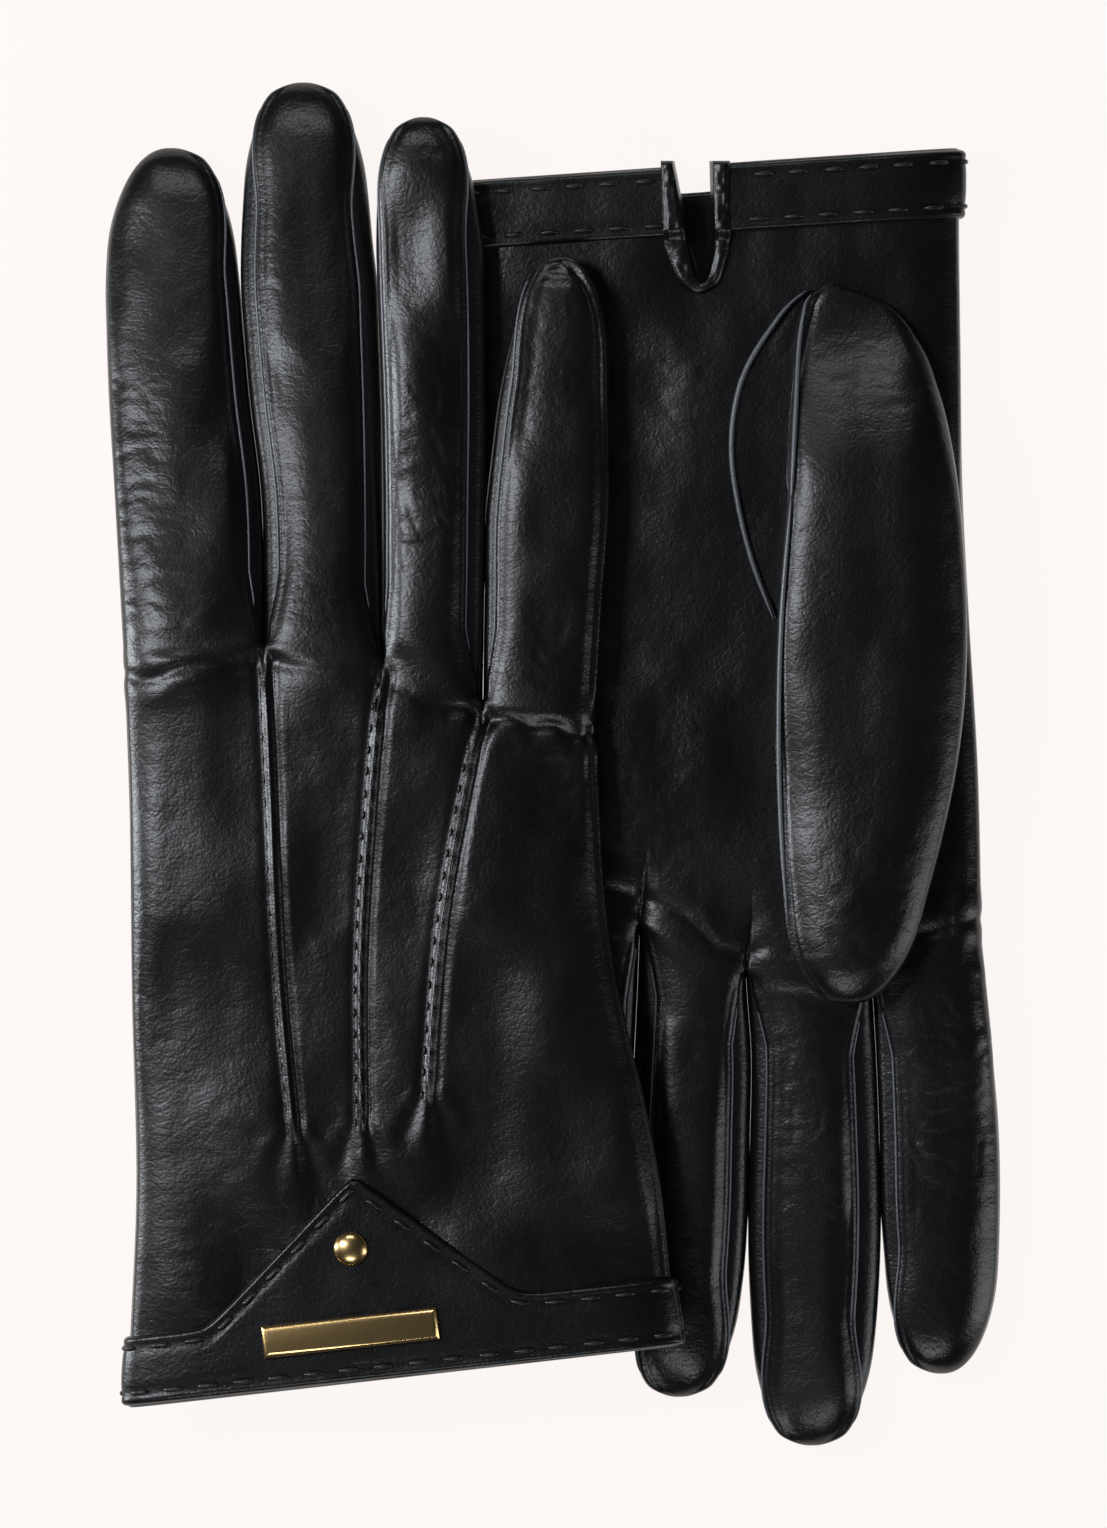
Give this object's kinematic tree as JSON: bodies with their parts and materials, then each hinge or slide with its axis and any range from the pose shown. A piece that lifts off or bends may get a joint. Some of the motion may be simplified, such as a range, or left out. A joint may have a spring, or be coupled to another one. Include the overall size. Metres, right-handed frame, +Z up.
{
  "type": "leather gloves",
  "caption": "Pair of lined leather dress gloves lying as a pair: stitched points on the back, fourchette fingers, thumb gusset, and a stitched wrist band with a pointed tab.",
  "frame": {"origin": "middle of the laid pair's bounding box, on the surface it lies on", "axes": "+Y along the right glove's fingers (the left glove's fingers point to -Y), +X across both gloves from the right glove's index side to the left glove's index side, +Z up"},
  "size_m": [0.169, 0.258, 0.0292],
  "materials": {
    "glove_leather": "black smooth nappa, semi-gloss with fine grain",
    "binding_leather": "black smooth nappa, rolled edge",
    "lining_cloth": "black fine knitted lining, matt",
    "thread": "black twisted sewing thread, slight sheen",
    "gilt": "polished gilt"
  },
  "bodies": {
    "left_hand": {"left_badge_bar": "gilt", "left_badge_stud": "gilt", "left_band_stitch": "thread", "left_cuff_band": "glove_leather", "left_hand_back": "glove_leather", "left_hand_lining": "lining_cloth", "left_hand_palm": "glove_leather", "left_point_stitch_1": "thread", "left_point_stitch_2": "thread", "left_point_stitch_3": "thread", "left_thumb_base": "glove_leather", "left_thumb_gusset": "glove_leather", "left_vent_binding": "binding_leather"},
    "right_hand": {"right_badge_bar": "gilt", "right_badge_stud": "gilt", "right_band_stitch": "thread", "right_cuff_band": "glove_leather", "right_hand_back": "glove_leather", "right_hand_lining": "lining_cloth", "right_hand_palm": "glove_leather", "right_point_stitch_1": "thread", "right_point_stitch_2": "thread", "right_point_stitch_3": "thread", "right_thumb_base": "glove_leather", "right_thumb_gusset": "glove_leather", "right_vent_binding": "binding_leather"},
    "left_index": {"left_index_fourchette_middle_side": "glove_leather", "left_index_leather": "glove_leather", "left_index_lining": "lining_cloth"},
    "left_little": {"left_little_fourchette_ring_side": "glove_leather", "left_little_leather": "glove_leather", "left_little_lining": "lining_cloth"},
    "left_middle": {"left_middle_fourchette_index_side": "glove_leather", "left_middle_fourchette_ring_side": "glove_leather", "left_middle_leather": "glove_leather", "left_middle_lining": "lining_cloth"},
    "left_ring": {"left_ring_fourchette_little_side": "glove_leather", "left_ring_fourchette_middle_side": "glove_leather", "left_ring_leather": "glove_leather", "left_ring_lining": "lining_cloth"},
    "left_thumb": {"left_thumb_leather": "glove_leather", "left_thumb_lining": "lining_cloth"},
    "right_index": {"right_index_fourchette_middle_side": "glove_leather", "right_index_leather": "glove_leather", "right_index_lining": "lining_cloth"},
    "right_little": {"right_little_fourchette_ring_side": "glove_leather", "right_little_leather": "glove_leather", "right_little_lining": "lining_cloth"},
    "right_middle": {"right_middle_fourchette_index_side": "glove_leather", "right_middle_fourchette_ring_side": "glove_leather", "right_middle_leather": "glove_leather", "right_middle_lining": "lining_cloth"},
    "right_ring": {"right_ring_fourchette_little_side": "glove_leather", "right_ring_fourchette_middle_side": "glove_leather", "right_ring_leather": "glove_leather", "right_ring_lining": "lining_cloth"},
    "right_thumb": {"right_thumb_leather": "glove_leather", "right_thumb_lining": "lining_cloth"}
  },
  "joints": [
    {"name": "right_glove_lift", "type": "slide", "parent": "left_hand", "child": "right_hand", "axis": [0, 0, 1], "range_m": [0, 0.15]},
    {"name": "right_index_bend", "type": "hinge", "parent": "right_hand", "child": "right_index", "pos_m": [-0.06728, 0.022, 0.02085], "axis": [0.9983, 0.0586, 0], "range_deg": [0, 50]},
    {"name": "right_middle_bend", "type": "hinge", "parent": "right_hand", "child": "right_middle", "pos_m": [-0.04308, 0.022, 0.02085], "axis": [0.9991, 0.0425, 0], "range_deg": [0, 50]},
    {"name": "right_ring_bend", "type": "hinge", "parent": "right_hand", "child": "right_ring", "pos_m": [-0.02243, 0.016, 0.02085], "axis": [0.9999, 0.0133, 0], "range_deg": [0, 50]},
    {"name": "right_little_bend", "type": "hinge", "parent": "right_hand", "child": "right_little", "pos_m": [-0.00253, 0.0105, 0.02085], "axis": [0.9986, -0.0532, 0], "range_deg": [0, 50]},
    {"name": "right_thumb_swing", "type": "hinge", "parent": "right_hand", "child": "right_thumb", "pos_m": [-0.07803, -0.05, 0.00505], "axis": [0, 0, 1], "range_deg": [0, 35]},
    {"name": "left_thumb_lift", "type": "hinge", "parent": "left_hand", "child": "left_thumb", "pos_m": [0.06037, 0.05, 0.0242], "axis": [-1, 0, 0], "range_deg": [0, 55]},
    {"name": "left_index_splay", "type": "hinge", "parent": "left_hand", "child": "left_index", "pos_m": [0.08057, -0.036, 0.0084], "axis": [0, 0, 1], "range_deg": [0, 12]},
    {"name": "left_middle_splay", "type": "hinge", "parent": "left_hand", "child": "left_middle", "pos_m": [0.05887, -0.038, 0.0084], "axis": [0, 0, 1], "range_deg": [0, 4.2]},
    {"name": "left_ring_splay", "type": "hinge", "parent": "left_hand", "child": "left_ring", "pos_m": [0.01697, -0.036, 0.0084], "axis": [0, 0, -1], "range_deg": [0, 5.4]},
    {"name": "left_little_splay", "type": "hinge", "parent": "left_hand", "child": "left_little", "pos_m": [-0.00213, -0.028, 0.0084], "axis": [0, 0, -1], "range_deg": [0, 12]}
  ],
  "couplings": [
    {"joint": "left_middle_splay", "follows": "left_index_splay", "ratio": 0.35},
    {"joint": "left_ring_splay", "follows": "left_little_splay", "ratio": 0.45}
  ]
}
